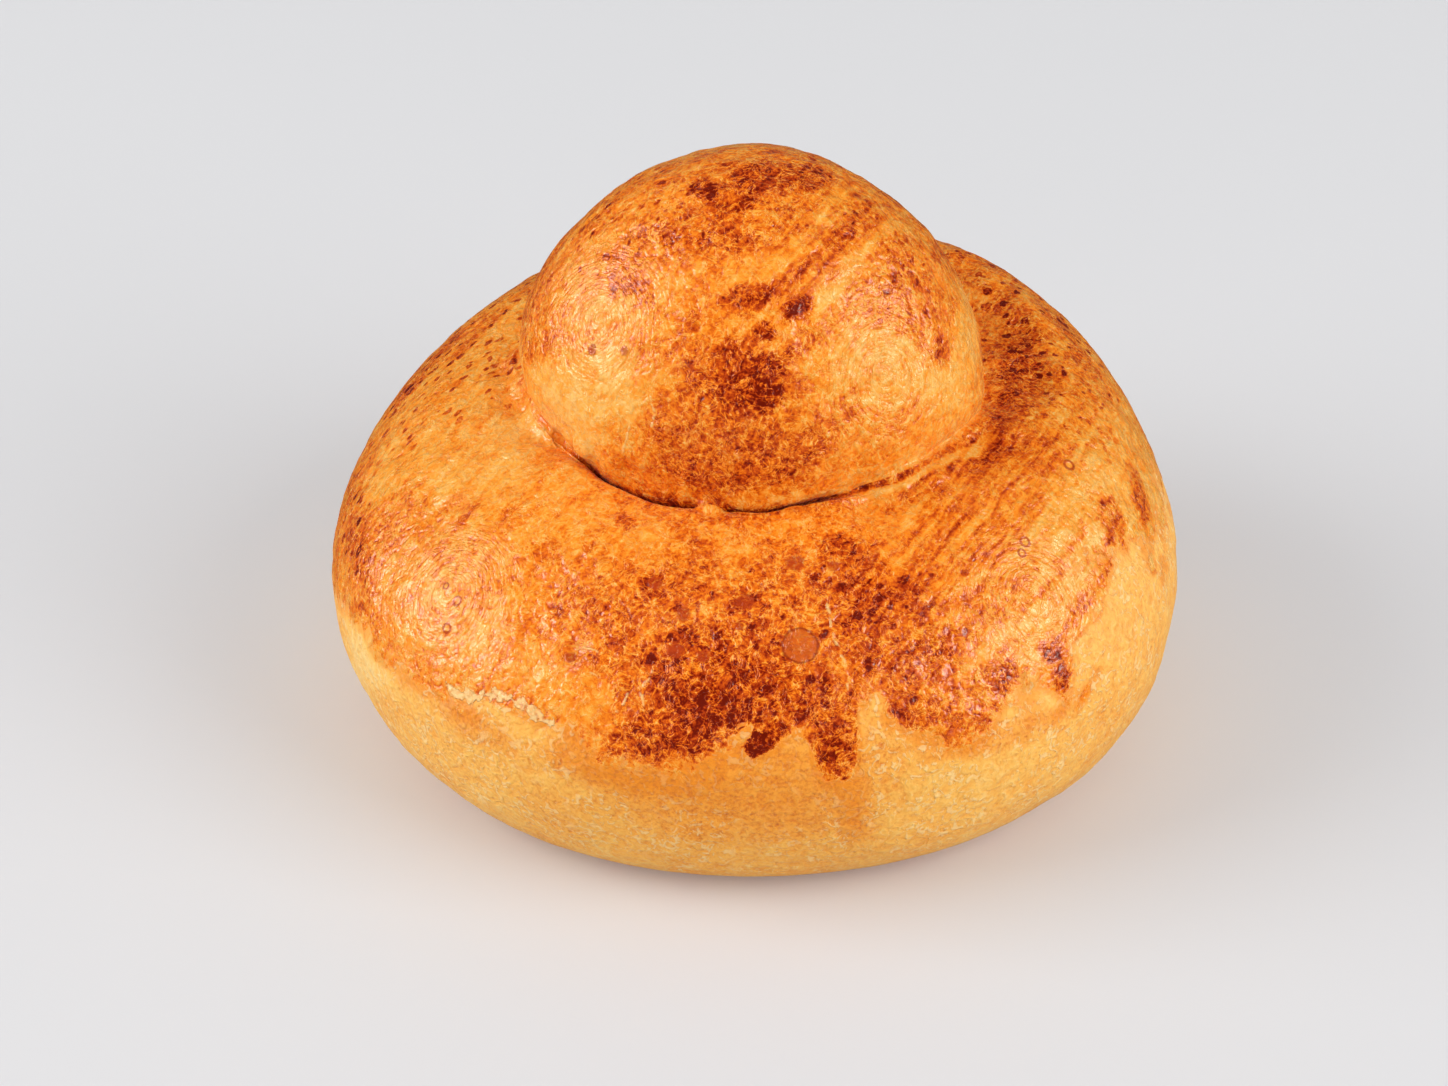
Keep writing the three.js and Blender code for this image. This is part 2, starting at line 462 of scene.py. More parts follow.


# ---------------- egg wash, browning, and painted light and shade

# The lower edge of the egg wash: azimuth in degrees, 0 in front and positive to the right, and height in mm.
WASH_LINE = [
    (-180, 21), (-160, 18), (-140, 22), (-120, 19), (-100, 23), (-85, 20), (-72, 23.5), (-58, 23),
    (-50, 23), (-38, 25), (-32, 26), (-26, 26), (-22, 24), (-17, 22.3), (-12, 22.2), (-7, 24.4), (0, 27.2),
    (6, 27), (8, 22.5), (12, 22.5), (14, 28.8), (17, 28.5), (20, 26), (27, 23), (31, 23.5), (35, 27), (43, 24),
    (46, 25), (50, 29), (58, 31), (68, 31), (80, 31), (92, 30), (105, 24), (120, 20), (140, 23), (160, 19), (180, 21),
]

# The wash was brushed on in strokes that run down to the left, as they are seen in the photograph.
BRUSH = (-VIEW_RIGHT * 0.64 - VIEW_UP * 0.77).normalized()

# Strokes in the photograph's frame: x, y, half length, half width, angle, browning, opacity. Browning runs from 0,
# palest, to 1, nearly burnt, and some strokes paint light or shade into it, as marked. The broad strokes come first,
# and the pale and the dark patches go over them.
BASE_BROWNING = 0.46
BROAD_STROKES = [
    (755, 190, 130, 45, 0, 0.54, 0.8),  # the knot's top
    (620, 220, 70, 28, 45, 0.5, 0.8),  # the knot's upper left edge
    (870, 225, 70, 30, -45, 0.5, 0.6),  # the knot's upper right
    (595, 318, 50, 50, 0, 0.38, 0.7),  # the knot's left, painted lighter where the light falls: painted light
    (560, 405, 26, 50, 30, 0.14, 0.9),  # under the knot's left side
    (606, 388, 44, 34, -30, 0.14, 0.8),
    (885, 372, 64, 52, 20, 0.23, 0.9),  # the knot's right, painted lighter where the light falls: painted light
    (850, 440, 90, 25, 20, 0.4, 0.8), (820, 420, 40, 36, 0, 0.54, 0.7),
    (968, 345, 16, 70, -8, 0.2, 0.9),  # stretched dough on the knot's right side
    (738, 462, 82, 34, 0, 0.75, 0.85),  # the knot's lower front, darker where it curls under: browning and painted shade
    (705, 410, 66, 50, 0, 0.6, 0.7),
    (455, 575, 75, 75, 0, 0.4, 0.9),  # the bun's left, painted lighter where the light falls: painted light
    (425, 640, 80, 40, -48, 0.4, 0.8), (445, 478, 26, 24, 0, 0.42, 0.7), (520, 650, 70, 50, -20, 0.34, 0.8),
    (480, 445, 80, 50, 30, 0.27, 0.85), (500, 400, 40, 24, 40, 0.28, 0.7), (560, 495, 60, 40, -20, 0.32, 0.7),
    (515, 440, 20, 42, -35, 0.16, 0.8), (515, 312, 20, 24, 0, 0.28, 0.7), (622, 548, 50, 20, 0, 0.44, 0.6),
    (532, 395, 50, 12, -52, 0.42, 0.7),  # painted shade in the valley on the left of the knot
    (700, 545, 110, 24, 0, 0.34, 0.8),  # just below the crease in front
    (780, 640, 240, 110, 0, 0.62, 0.8),  # the browned apron in front
    (560, 690, 50, 26, -28, 0.36, 0.8),
    (450, 362, 90, 44, 42, 0.34, 0.8),  # the left shoulder
    (1000, 560, 80, 80, 0, 0.47, 0.8),  # the bun's right, in the light
    (1088, 520, 40, 110, -22, 0.25, 0.8),
    (1030, 330, 100, 45, -55, 0.48, 0.8),  # the right shoulder
    (990, 490, 90, 40, 38, 0.56, 0.7),
    (1120, 600, 50, 110, -10, 0.2, 0.9),  # pale far right
    (1150, 560, 40, 130, 0, 0.16, 0.9), (1130, 440, 25, 60, 10, 0.3, 0.8),
]

DARK_STROKES = [
    (645, 500, 66, 9, -27, 0.62, 0.6),  # painted shade beside the crease, with the two strokes on the next line
    (750, 515, 30, 7, 0, 0.62, 0.6), (810, 503, 60, 7, 9, 0.62, 0.6),
    (1016, 385, 26, 54, -8, 0.82, 0.75),  # the shoulder behind the crease on the right
    # The last two strokes on the next line are painted shade beside the crease on the right.
    (990, 436, 46, 18, 52, 0.84, 0.75), (940, 474, 50, 10, 28, 0.66, 0.6), (880, 487, 34, 7, 24, 0.64, 0.6),
    (768, 230, 44, 13, 8, 0.64, 0.6), (722, 262, 18, 12, 0, 0.62, 0.6), (1030, 420, 30, 52, 20, 0.6, 0.6),
    (1000, 300, 40, 10, -40, 0.62, 0.6), (1115, 530, 12, 34, 17, 0.74, 0.75), (1078, 606, 30, 7, 58, 0.74, 0.75),
    (1000, 680, 9, 14, 20, 0.86, 0.8), (757, 173, 36, 15, 5, 0.76, 0.9), (802, 176, 26, 13, -10, 0.72, 0.9),
    (706, 188, 13, 9, 0, 0.88, 0.9), (722, 209, 17, 9, -20, 0.72, 0.7), (746, 204, 10, 7, 0, 0.84, 0.85),
    (700, 236, 75, 12, -4, 0.7, 0.7), (846, 232, 56, 11, 47, 0.74, 0.8), (786, 282, 52, 9, 38, 0.68, 0.7),
    (748, 296, 28, 12, 15, 0.8, 0.8), (799, 309, 18, 11, 35, 0.95, 0.95), (764, 331, 11, 9, 0, 0.9, 0.9),
    (628, 286, 17, 9, 10, 0.78, 0.8), (650, 302, 12, 7, -20, 0.72, 0.7), (744, 384, 46, 32, 10, 0.84, 0.85),
    (760, 390, 22, 20, 20, 0.94, 0.9), (735, 356, 22, 14, 0, 0.76, 0.8), (806, 347, 26, 8, 30, 0.72, 0.8),
    (941, 351, 8, 15, 0, 0.86, 0.85), (905, 262, 34, 10, -48, 0.66, 0.6), (918, 318, 40, 22, -60, 0.52, 0.6),
    (1075, 345, 60, 9, -50, 0.64, 0.6), (985, 262, 60, 8, -25, 0.6, 0.5), (480, 330, 56, 7, 40, 0.74, 0.4),
    (357, 540, 12, 40, 5, 0.7, 0.6), (575, 600, 40, 20, -30, 0.6, 0.5), (652, 585, 12, 10, -40, 0.84, 0.8),
    (625, 520, 14, 8, -40, 0.74, 0.6), (720, 700, 60, 42, 10, 0.92, 0.85), (660, 735, 46, 22, 12, 0.84, 0.8),
    (690, 655, 40, 26, 20, 0.76, 0.7), (745, 602, 10, 8, 0, 0.9, 0.9), (676, 650, 9, 8, 0, 0.9, 0.9),
    (740, 655, 62, 32, 0, 0.74, 0.6), (665, 747, 52, 10, 8, 0.86, 0.7), (763, 742, 20, 11, 30, 1.14, 1.0),
    (779, 729, 12, 8, 45, 0.9, 0.9), (836, 745, 22, 34, 10, 0.84, 0.85), (800, 700, 50, 22, 0, 0.74, 0.7),
    (884, 596, 42, 32, 0, 0.84, 0.75), (905, 655, 46, 26, 0, 0.68, 0.7), (845, 548, 26, 12, -20, 0.78, 0.7),
    (960, 706, 46, 22, 0, 0.58, 0.75), (905, 708, 28, 18, -30, 0.7, 0.7), (1004, 678, 24, 14, 20, 0.74, 0.8),
    (1052, 652, 15, 10, -60, 0.84, 0.85), (1062, 678, 9, 16, 20, 0.8, 0.8), (1080, 610, 50, 7, 56, 0.68, 0.75),
    (1064, 560, 52, 6, 58, 0.6, 0.7), (1108, 560, 34, 12, 60, 0.62, 0.6), (1140, 500, 34, 8, -76, 0.76, 0.75),
]

# Where small dark specks are scattered: x, y, half length, half width, angle, strength.
SPECK_STROKES = [
    (450, 350, 150, 66, 45, 1.0), (620, 215, 80, 36, 45, 0.8), (755, 178, 130, 40, 0, 0.5),
    (900, 265, 70, 36, -50, 0.4), (1045, 335, 100, 50, -50, 1.0), (830, 620, 190, 100, 0, 0.55),
    (352, 540, 20, 60, 0, 0.8), (1110, 500, 40, 70, 0, 0.5),
]

# The browned patches behind, out of the photograph's view: azimuth in degrees, height, half length and half width in
# mm, angle, browning, opacity.
HIDDEN_STROKES = [
    (118, 36, 9, 4, 35, 0.74, 0.7), (138, 30, 8, 5, 10, 0.82, 0.8), (152, 41, 12, 4, 25, 0.72, 0.8),
    (166, 27, 7, 5, -20, 0.84, 0.8), (178, 36, 10, 5, 15, 0.7, 0.8), (-168, 43, 8, 3, 20, 0.8, 0.8),
    (-160, 29, 9, 4, 0, 0.74, 0.7), (-142, 37, 11, 4, -30, 0.76, 0.8), (-124, 29, 7, 5, 15, 0.82, 0.8),
    (-108, 38, 9, 3, -35, 0.68, 0.7), (-176, 64, 8, 5, 10, 0.82, 0.85), (158, 57, 6, 3, 40, 0.76, 0.8),
    (128, 62, 7, 3, 45, 0.68, 0.7), (-146, 60, 7, 3, -35, 0.72, 0.8), (-128, 55, 4, 3, 0, 0.84, 0.8),
    (-112, 64, 6, 2.5, -40, 0.66, 0.7),
]

PALE_STROKES = [
    (764, 206, 30, 4, 35, 0.4, 0.7), (725, 172, 20, 3, 30, 0.36, 0.6), (870, 250, 56, 9, 48, 0.3, 0.75),
    (826, 296, 28, 9, 45, 0.26, 0.8), (820, 215, 46, 7, 46, 0.34, 0.6), (590, 260, 12, 46, -38, 0.34, 0.6),
    (655, 375, 26, 16, 30, 0.34, 0.6), (520, 455, 50, 9, 40, 0.26, 0.6), (592, 437, 15, 5, -28, 0.2, 0.9),
    (711, 509, 13, 5, 0, 0.36, 0.9), (385, 470, 12, 36, -25, 0.24, 0.7), (1096, 590, 60, 6, 57, 0.22, 0.85),
    (1052, 590, 60, 6, 54, 0.26, 0.8), (1020, 660, 40, 7, 50, 0.24, 0.8), (1112, 472, 30, 6, 58, 0.22, 0.8),
    (1060, 578, 56, 6, 55, 0.22, 0.85), (1005, 636, 50, 8, 43, 0.24, 0.85), (1080, 510, 40, 5, 60, 0.28, 0.7),
    (800, 645, 36, 30, 0, 0.52, 0.85), (775, 500, 9, 3, 10, 0.15, 0.8), (801, 497, 8, 3, -5, 0.15, 0.8),
    (840, 492, 8, 3, 20, 0.15, 0.8),
]

# Bare gaps in the wash and drips of it below the line: x, y, half length, half width, angle.
BARE_GAPS = [
    (871, 720, 12, 24, -22), (878, 752, 26, 22, 0), (797, 752, 12, 18, 0), (738, 740, 9, 5, 20),
    (1085, 655, 60, 12, 58), (1135, 620, 22, 70, 0), (492, 712, 40, 8, -24), (548, 742, 24, 9, -40),
]
WASH_DRIPS = [
    (763, 744, 20, 10, 30), (779, 729, 13, 8, 45), (838, 745, 22, 34, 10), (1058, 668, 14, 26, 20),
    (1084, 606, 52, 10, 57), (1140, 500, 36, 11, -76),
]

# How the bare dough is coloured: x, y, half length, half width, angle, level, opacity. 0 is creamy, 0.6 tan, and 1
# orange where some wash has soaked in.
BARE_STROKES = [
    # The first stroke, deep across the lower front, is partly painted shade there.
    (740, 785, 170, 60, 0, 0.95, 0.9), (560, 790, 90, 30, -32, 0.48, 0.8), (440, 735, 80, 30, -48, 0.44, 0.8),
    (360, 650, 24, 60, 12, 0.12, 0.9), (980, 790, 110, 40, 20, 0.36, 0.9), (1130, 640, 50, 100, -15, 0.46, 0.9),
    (612, 772, 56, 18, -14, 1.15, 0.9), (680, 784, 60, 18, 0, 1.15, 0.85), (852, 800, 16, 44, 8, 1.15, 0.8),
    (770, 860, 150, 14, 0, 0.5, 0.8), (470, 722, 44, 16, -35, 0.9, 0.8), (1010, 735, 60, 12, 20, 0.85, 0.7),
]

# Small dark bubbles, tiny ones that show as rings, and a flat blister with a rim: x, y, radius in pixels.
BUBBLES = [
    (676, 650, 8), (745, 602, 9), (703, 656, 6), (739, 626, 4), (655, 583, 8), (683, 614, 7), (624, 351, 5),
    (592, 350, 6), (794, 563, 9), (833, 566, 6), (571, 658, 6),
]
SMALL_RINGS = [(446, 586, 3.5), (457, 601, 5), (447, 628, 5), (1069, 465, 6), (1025, 542, 5.5), (1022, 553, 4.5)]
BLISTERS = [(800, 645, 17)]
BUBBLE_COLOUR = (184, 62, 16)
BLISTER_COLOUR = (210, 92, 24)
RIM_COLOUR = (146, 42, 10)

# Thin pale folds in the wash's skin.
FOLDS = [
    [(617, 711), (624, 705), (628, 695)],
    [(643, 705), (642, 690), (650, 675), (655, 665)],
    [(827, 604), (832, 630), (844, 661), (848, 690)],
    [(577, 650), (586, 647), (598, 652)],
    [(590, 672), (600, 676), (596, 685)],
    [(630, 424), (627, 436), (622, 452)],
    [(650, 398), (655, 412), (650, 430)],
]
FOLD_COLOUR = (255, 204, 122)

# The middles of the fine ripples in the wash's skin, where it dried taut over a bulge.
RIPPLE_MIDDLES = [(600, 318), (885, 372), (452, 588), (1030, 592)]

# The crack where the stretched dough gave way, on the right of the crease.
CRACK = [(846, 491), (868, 483), (892, 469)]
CRACK_COLOUR = (166, 74, 20)

# A lifted flake of the wash on the left.
FLAKE = [(448, 688), (470, 699), (500, 694), (522, 704), (548, 722)]
FLAKE_COLOUR = (255, 212, 142)

# Where the browning follows the brush: x, y, half length, half width, angle, strength.
BRUSHED_STROKES = [
    (980, 510, 150, 70, 45, 1.0), (1090, 600, 90, 44, 57, 1.0), (830, 240, 90, 50, 45, 0.8),
    (420, 370, 120, 50, 45, 0.6), (470, 500, 90, 50, 50, 0.5),
]

# Where the wash thins out in streaks, by azimuth in degrees: from, fully from, fully to, to. The fades are half the
# heights in mm over which it thins out there and elsewhere.
STREAKY = (25, 50, 90, 130)
STREAKY_FADE = 9.0
WASH_FADE = 4.5

# What the photograph doesn't show begins about here, along Y in metres.
HIDDEN_FROM, HIDDEN_TO = -0.004, 0.012

# How dark the crease itself is painted, as painted shade, by azimuth in degrees, and how many rings to each side
# of it are as dark.
CREASE_SHADE = [(-180, 0.7), (-110, 0.4), (-62, 0.4), (-48, 0.78), (-20, 0.84), (5, 0.84), (18, 0.76), (36, 0.70),
                   (60, 0.60), (110, 0.55), (180, 0.7)]
CREASE_REACH = [(-180, 1), (-65, 1), (-48, 2.2), (-10, 3), (8, 2.4), (20, 1.6), (40, 1), (180, 1)]

# How clearly the pale dough shows that stretched above the crease, and the ring that it goes down to.
STRETCHED = [(-180, 0), (-110, 0.3), (-80, 0.6), (-55, 0.5), (-30, 0.1), (15, 0.1), (25, 0.6), (45, 0.55), (62, 0.6),
             (75, 0.8), (110, 0.6), (140, 0.2), (180, 0)]
STRETCHED_TO = [(-180, 20), (-120, 22), (20, 20), (45, 19.4), (60, 18.4), (78, 17.2), (110, 17), (180, 20)]
STRETCHED_BROWNING = 0.20

# How clearly the bun's lip shows pale beyond the crease, on its right.
PALE_LIP = [(-180, 0), (20, 0), (32, 0.8), (58, 0.8), (70, 0), (180, 0)]
LIP_BROWNING = 0.18


def drawn_to(field, level, share):
    """A field, moved this share of the way to a level."""
    return field + (level - field) * share


def paint(field, distance, level, opacity, softness=0.45):
    """A field, moved towards a level inside the ellipse whose rim is at distance 1."""
    return drawn_to(field, level, smooth(1 + softness, 1 - softness, distance) * opacity)


def paint_strokes(skin, field, strokes, unevenness, softness=0.45):
    """The same for strokes in the photograph's frame that end with a level and an opacity, with uneven rims."""
    for *ellipse, level, opacity in strokes:
        field = paint(field, skin.stroke_at_pixel(*ellipse) + unevenness, level, opacity, softness)
    return field


def hidden(skin):
    """0 where the photograph shows the skin and 1 behind."""
    return smooth(HIDDEN_FROM, HIDDEN_TO, skin.co[:, 1])


def crease_shade_and_pale_dough(skin, field):
    """The thin dark line of painted shade in the crease, the pale dough above it that was hidden from the oven, and
    the pale lip.
    """
    uneven = cloud(skin.co, 3.5, 2, 37.0)
    stretched = skin.by_azimuth(STRETCHED) * smooth(1, -1, skin.ring - skin.by_azimuth(STRETCHED_TO) + 0.9 * uneven)
    field = drawn_to(field, STRETCHED_BROWNING, stretched * smooth(12.5, 16, skin.ring + uneven))
    lip = skin.by_azimuth(PALE_LIP) * smooth(20.8, 22, skin.ring + 0.3 * uneven)
    field = drawn_to(field, LIP_BROWNING, lip * smooth(25.2, 24, skin.ring + 0.5 * uneven))
    reach = skin.by_azimuth(CREASE_REACH)
    line = smooth(reach + 0.5, reach - 0.5, np.abs(skin.ring - CREASE_RING - 0.6 * uneven))
    # The crease's line is painted dark: painted shade in the crease.
    return drawn_to(field, skin.by_azimuth(CREASE_SHADE), line)


def paint_browning_light_and_shade(skin):
    """How browned the crust is painted at each point, from 0, palest, to 1, with painted light and painted shade in
    it.
    """
    lumps = cloud(skin.co, 11, 3, 41.0)
    streaks = cloud(skin.co, 2.6, 3, 57.0, (BRUSH, 4.5))
    ragged = cloud(skin.co, 2.2, 3, 61.0)
    field = paint_strokes(skin, BASE_BROWNING + 0.12 * lumps, BROAD_STROKES, 0.25 * lumps)
    field = field + 0.09 * streaks
    field = paint_strokes(skin, field, PALE_STROKES + DARK_STROKES, 0.35 * ragged, 0.40)
    for *ellipse, level, opacity in HIDDEN_STROKES:
        field = paint(field, skin.stroke_at_side(*ellipse) + 0.45 * ragged, level, opacity)
    return crease_shade_and_pale_dough(skin, field)


def speckled(skin):
    """How densely the small dark specks lie: 0 none, 1 densest. Behind they come and go."""
    lumps = cloud(skin.co, 9, 2, 97.0)
    field = 0.15 + hidden(skin) * (0.3 + 0.5 * np.clip(lumps, -0.4, 1))
    strokes = [(*stroke, 0.9) for stroke in SPECK_STROKES]
    return paint_strokes(skin, field, strokes, 0.25 * lumps)


def brushed(skin):
    """How clearly the crust's colour follows the brush: 0 not at all, 1 clearest."""
    field = 0.25 + 0.25 * hidden(skin)
    strokes = [(*stroke, 1.0) for stroke in BRUSHED_STROKES]
    return paint_strokes(skin, field, strokes, 0, 0.6)


def bare_depth(skin):
    """How deeply coloured the bare dough is: 0 creamy, 1 orange, with painted shade across the lower front. It is
    deeper round the sole.
    """
    lumps = cloud(skin.co, 7, 3, 83.0)
    field = 0.40 + 0.22 * lumps + 0.55 * smooth(46, 50, skin.ring)
    return paint_strokes(skin, field, BARE_STROKES, 0.35 * lumps, 0.6)


def wash_cover(skin):
    """The egg wash's cover: over 0.5 where it lies, under 0.5 where the dough stayed bare."""
    ragged = cloud(skin.co, 4, 4, 71.0)
    streaks = cloud(skin.co, 2.4, 3, 91.0, (BRUSH, 6))
    streaky = band(skin.azimuth, *STREAKY)
    fade = WASH_FADE + (STREAKY_FADE - WASH_FADE) * streaky
    above_line = skin.height - skin.by_azimuth(WASH_LINE)
    field = smooth(-fade, fade, above_line + 1.3 * ragged + 7 * streaks * streaky)
    field = np.where(skin.ring < BROW_RING, 1.0, field)
    for strokes, level in ((BARE_GAPS, 0.0), (WASH_DRIPS, 1.0)):
        field = paint_strokes(skin, field, [(*stroke, level, 1.0) for stroke in strokes], 0.3 * ragged)
    return field


# ---------------- the crust's material


def linear(value):
    """A channel of 0 to 255 as it is seen, as linear light."""
    share = value / 255
    return share / 12.92 if share <= 0.04045 else ((share + 0.055) / 1.055) ** 2.4


def solid(colour):
    """A colour of 0 to 255 as linear light, with its alpha."""
    return (*[linear(channel) for channel in colour], 1)


class Graph:
    """Short ways to add shader nodes. A value is a number, a vector or another node's output. Sizes are in mm."""

    def __init__(self, material):
        material.use_nodes = True
        self.tree = material.node_tree
        self.surface = self.tree.nodes["Principled BSDF"]
        self.where = self.tree.nodes.new("ShaderNodeTexCoord").outputs["Object"]

    def feed(self, socket, value):
        """Links another node's output to a socket, or sets its value."""
        if isinstance(value, bpy.types.NodeSocket):
            self.tree.links.new(value, socket)
        elif value is not None:
            socket.default_value = value

    def node(self, kind, inputs=None, **settings):
        made = self.tree.nodes.new(kind)
        for name, value in settings.items():
            setattr(made, name, value)
        for name, value in (inputs or {}).items():
            self.feed(made.inputs[name], value)
        return made

    def attribute(self, name):
        return self.node("ShaderNodeAttribute", attribute_name=name).outputs["Fac"]

    def math(self, operation, a, b=None, clamp=False):
        return self.node("ShaderNodeMath", {0: a, 1: b}, operation=operation, use_clamp=clamp).outputs[0]

    def chain(self, operation, values):
        """Several values taken together, one after the other."""
        total, *rest = values
        for value in rest:
            total = self.math(operation, total, value)
        return total

    def sum(self, *values):
        return self.chain("ADD", values)

    def least(self, values):
        return self.chain("MINIMUM", values)

    def times(self, a, b):
        return self.math("MULTIPLY", a, b)

    def about_zero(self, value, amount, middle=0.5):
        """A value between 0 and 1, moved so that its middle is zero, and scaled."""
        return self.times(self.math("SUBTRACT", value, middle), amount)

    def vector(self, operation, a, b=None, c=None, output="Vector"):
        return self.node("ShaderNodeVectorMath", {0: a, 1: b, 2: c}, operation=operation).outputs[output]

    def scaled(self, vector, factor):
        return self.node("ShaderNodeVectorMath", {0: vector, "Scale": factor}, operation="SCALE").outputs[0]

    def spread(self, value, low, high, to_low=0.0, to_high=1.0):
        """Maps low..high smoothly to to_low..to_high."""
        inputs = {"Value": value, "From Min": low, "From Max": high, "To Min": to_low, "To Max": to_high}
        return self.node("ShaderNodeMapRange", inputs, interpolation_type="SMOOTHSTEP").outputs["Result"]

    def fade(self, value, low, high):
        """1 below low, 0 above high."""
        return self.spread(value, low, high, 1, 0)

    def hump(self, value, low, rising, falling, high):
        """1 from rising to falling, 0 below low and above high."""
        return self.times(self.spread(value, low, rising), self.fade(value, falling, high))

    def noise(self, size, detail=2.0, roughness=0.55, distortion=0.0, where=None):
        inputs = {
            "Vector": where or self.where,
            "Scale": 1 / (size * MM),
            "Detail": detail,
            "Roughness": roughness,
            "Distortion": distortion,
        }
        return self.node("ShaderNodeTexNoise", inputs).outputs[0]

    def cells(self, size, where, output="Distance"):
        inputs = {"Vector": where, "Scale": 1 / (size * MM)}
        return self.node("ShaderNodeTexVoronoi", inputs).outputs[output]

    def bent(self, size, reach):
        """The place, shifted by noise in lumps of this size by up to about half the reach."""
        shift = self.node("ShaderNodeTexNoise", {"Vector": self.where, "Scale": 1 / (size * MM)}).outputs["Color"]
        centred = self.vector("SUBTRACT", shift, (0.5, 0.5, 0.5))
        return self.vector("MULTIPLY_ADD", centred, (reach * MM,) * 3, self.where)

    def drawn_out(self, where, direction, times):
        """The place with everything stretched this many times along a direction."""
        along = self.vector("DOT_PRODUCT", where, tuple(direction), output="Value")
        return self.vector("ADD", where, self.scaled(tuple(direction), self.times(along, 1 / times - 1)))

    def mix(self, share, a, b):
        made = self.node("ShaderNodeMix", data_type="RGBA")
        self.feed(made.inputs["Factor"], share)
        self.feed(made.inputs[6], a)
        self.feed(made.inputs[7], b)
        return made.outputs[2]

    def colour(self, value, stops):
        """A colour ramp. Each stop is a place and a colour of 0 to 255."""
        made = self.node("ShaderNodeValToRGB", {"Fac": value})
        elements = made.color_ramp.elements
        while len(elements) < len(stops):
            elements.new(0.5)
        for element, (place, colour) in zip(elements, stops):
            element.position = place
            element.color = solid(colour)
        return made.outputs["Color"]

    def nearest(self, spots):
        """The distance to the nearest of some spots, in that spot's radii. Each is a place and a radius in mm."""
        return self.least([
            self.times(self.vector("DISTANCE", self.where, tuple(place), output="Value"), 1 / (radius * MM))
            for place, radius in spots
        ])

    def line_distance(self, places, where):
        """The distance in mm to a line through some places."""
        distances = []
        for start, end in zip(places, places[1:]):
            way = Vector(end) - Vector(start)
            offset = self.vector("SUBTRACT", where, tuple(start))
            reach = self.vector("DOT_PRODUCT", offset, tuple(way / way.length_squared), output="Value")
            reach = self.math("MAXIMUM", self.math("MINIMUM", reach, 1.0), 0.0)
            foot = self.scaled(tuple(way), reach)
            distances.append(self.times(self.vector("DISTANCE", offset, foot, output="Value"), 1 / MM))
        return self.least(distances)


# The way that the specks are drawn out: along the shoulder, up to the right as they are seen.
SPECK_WAY = (VIEW_RIGHT * 0.5 + VIEW_UP * 0.87).normalized()

# The crust's colours, by how brown it is.
WASHED_COLOURS = [
    (0.00, (255, 194, 102)),
    (0.20, (254, 170, 62)),
    (0.42, (249, 140, 28)),
    (0.58, (232, 108, 12)),
    (0.74, (198, 72, 8)),
    (0.90, (152, 38, 2)),
    (1.00, (112, 20, 0)),
]
EDGE_BROWNING = 0.34  # the browning at the wash's thin edge
LIGHTENING = 0.09     # how much lighter the whole crust is than it is painted
MOST_BROWN = 0.97

# The bare dough's colours, from creamy through tan to the orange that the wash has soaked into.
BARE_COLOURS = [
    (0.00, (255, 216, 136)),
    (0.30, (255, 192, 88)),
    (0.60, (251, 168, 60)),
    (1.00, (244, 144, 24)),
]
PORE_COLOUR = (220, 116, 30)
FLECK_COLOUR = (255, 222, 156)

# How rough the bare dough is, and how much less so the egg-washed skin.
BARE_ROUGHNESS = 0.58
WASH_SMOOTHS = 0.35

# The sizes in mm of what the noise draws.
GRAIN_SIZE = 0.42
PIT_SIZE = 1.15
LUMP_SIZE = 1.3
MOTTLE_SIZE = 3.4
SPECK_SPACING = 1.7

# How many times longer than wide the streaks and the fine lines of the brush are.
STREAK_STRETCH = 5
BRUSH_LINE_STRETCH = 9

# How far from their middles the ripples are full and where they end, in mm, and how wide each is for its length.
RIPPLES_FULL_TO, RIPPLES_END = 5, 12
RIPPLE_WIDTH = 0.3


def threads(g, size, width):
    """Thin winding threads, 1 on each and 0 between them."""
    winding = g.noise(size, detail=3, roughness=0.6, distortion=0.9)
    return g.fade(g.math("ABSOLUTE", g.math("SUBTRACT", winding, 0.5)), 0, width)


